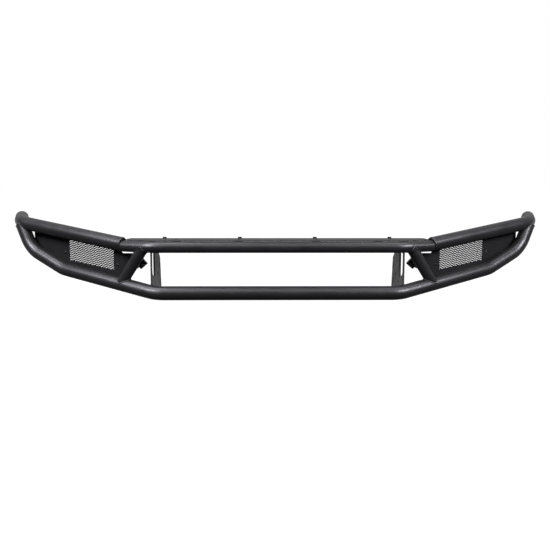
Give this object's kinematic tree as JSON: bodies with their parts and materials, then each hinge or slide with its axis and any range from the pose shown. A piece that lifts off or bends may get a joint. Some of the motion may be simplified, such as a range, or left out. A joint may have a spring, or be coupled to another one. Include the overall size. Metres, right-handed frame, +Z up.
{
  "type": "front grille guard",
  "caption": "Full-width tubular front guard for a pickup: two bent cross tubes, swept wings with mesh-windowed panels, frame brackets and a bolted top plate.",
  "frame": {"origin": "middle of the overall width and depth, on the level the lower tube and the frame brackets stand on", "axes": "+X to the right seen from the front, +Y towards the truck, +Z up"},
  "size_m": [2.0754, 0.3928, 0.3052],
  "materials": {
    "tube_powder_coat": "satin black textured powder coat",
    "plate_powder_coat": "satin black textured powder coat on plate",
    "panel_powder_coat": "matt black textured powder coat on sheet",
    "mesh_powder_coat": "matt black powder coat on expanded metal",
    "black_zinc": "black zinc plated steel"
  },
  "bodies": {
    "root": {"diagonal_brace_left": "tube_powder_coat", "diagonal_brace_right": "tube_powder_coat", "frame_bracket_left": "plate_powder_coat", "frame_bracket_right": "plate_powder_coat", "joint_plate_left": "tube_powder_coat", "joint_plate_right": "tube_powder_coat", "lower_main_tube": "tube_powder_coat", "mesh_nut_left_1": "black_zinc", "mesh_nut_left_2": "black_zinc", "mesh_nut_left_3": "black_zinc", "mesh_nut_left_4": "black_zinc", "mesh_nut_right_1": "black_zinc", "mesh_nut_right_2": "black_zinc", "mesh_nut_right_3": "black_zinc", "mesh_nut_right_4": "black_zinc", "mesh_screen_left": "mesh_powder_coat", "mesh_screen_right": "mesh_powder_coat", "mesh_screw_left_1": "black_zinc", "mesh_screw_left_2": "black_zinc", "mesh_screw_left_3": "black_zinc", "mesh_screw_left_4": "black_zinc", "mesh_screw_right_1": "black_zinc", "mesh_screw_right_2": "black_zinc", "mesh_screw_right_3": "black_zinc", "mesh_screw_right_4": "black_zinc", "side_bolt_left": "black_zinc", "side_bolt_nut_left": "black_zinc", "side_bolt_nut_right": "black_zinc", "side_bolt_right": "black_zinc", "side_bolt_washer_left": "black_zinc", "side_bolt_washer_right": "black_zinc", "top_centre_tube": "tube_powder_coat", "tube_cap_left": "tube_powder_coat", "tube_cap_right": "tube_powder_coat", "valance_bolt_1": "black_zinc", "valance_bolt_2": "black_zinc", "valance_bolt_3": "black_zinc", "valance_bolt_4": "black_zinc", "valance_bolt_nut_1": "black_zinc", "valance_bolt_nut_2": "black_zinc", "valance_bolt_nut_3": "black_zinc", "valance_bolt_nut_4": "black_zinc", "valance_plate": "plate_powder_coat", "valance_screw_1": "black_zinc", "valance_screw_2": "black_zinc", "valance_screw_3": "black_zinc", "valance_screw_4": "black_zinc", "valance_screw_nut_1": "black_zinc", "valance_screw_nut_2": "black_zinc", "valance_screw_nut_3": "black_zinc", "valance_screw_nut_4": "black_zinc", "valance_tab_1": "plate_powder_coat", "valance_tab_2": "plate_powder_coat", "valance_tab_3": "plate_powder_coat", "valance_tab_4": "plate_powder_coat", "wing_panel_left": "panel_powder_coat", "wing_panel_right": "panel_powder_coat", "wing_tube_left": "tube_powder_coat", "wing_tube_right": "tube_powder_coat"}
  },
  "joints": []
}
